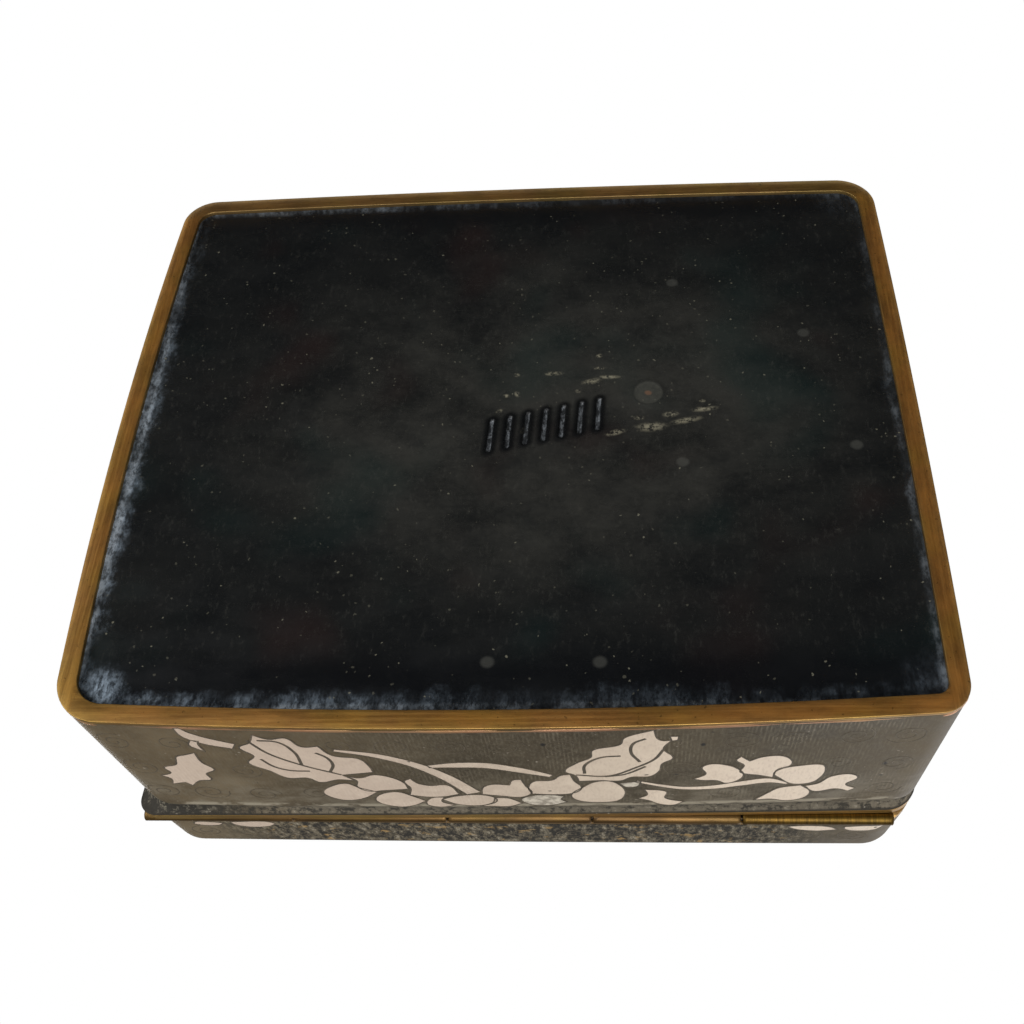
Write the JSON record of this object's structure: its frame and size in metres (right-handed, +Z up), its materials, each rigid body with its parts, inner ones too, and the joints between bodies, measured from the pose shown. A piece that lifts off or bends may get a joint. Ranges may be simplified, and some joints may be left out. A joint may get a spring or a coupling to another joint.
{
  "type": "cloisonne enamel box with a hinged lid",
  "caption": "Low rectangular cloisonne enamel box: brass-rimmed enamelled body on a foot rim, recessed dark base and a round-shouldered lid on a long back hinge.",
  "frame": {"origin": "on the resting plane under the middle of the box's foot", "axes": "+Z up, +X along the hinge to the viewer's left from behind, +Y towards the hinge at the back"},
  "size_m": [0.1228, 0.1038, 0.0538],
  "materials": {
    "ground_enamel": "semi-gloss grey-olive enamel with flush pale flowers and fine wires",
    "base_enamel": "semi-gloss black counter-enamel with a bluish bloom and dust",
    "rim_brass": "aged, brushed and worn orange-brown brass",
    "hinge_brass": "worn golden brass with fine file marks"
  },
  "bodies": {
    "box_body": {"foot_rim": "rim_brass", "base_panel": "base_enamel", "body_wall": "ground_enamel", "body_mouth_rim": "rim_brass", "hinge_knuckle_1": "hinge_brass", "hinge_knuckle_3": "hinge_brass", "hinge_knuckle_5": "hinge_brass", "hinge_pin": "hinge_brass"},
    "lid": {"lid_rim": "rim_brass", "lid_shell": "ground_enamel", "hinge_knuckle_2": "hinge_brass", "hinge_knuckle_4": "hinge_brass"}
  },
  "joints": [
    {"name": "lid_hinge", "type": "hinge", "parent": "box_body", "child": "lid", "pos_m": [-0.00066, 0.0504, 0.03705], "axis": [-0.9999, -0.0131, 0], "range_deg": [0, 105]}
  ]
}
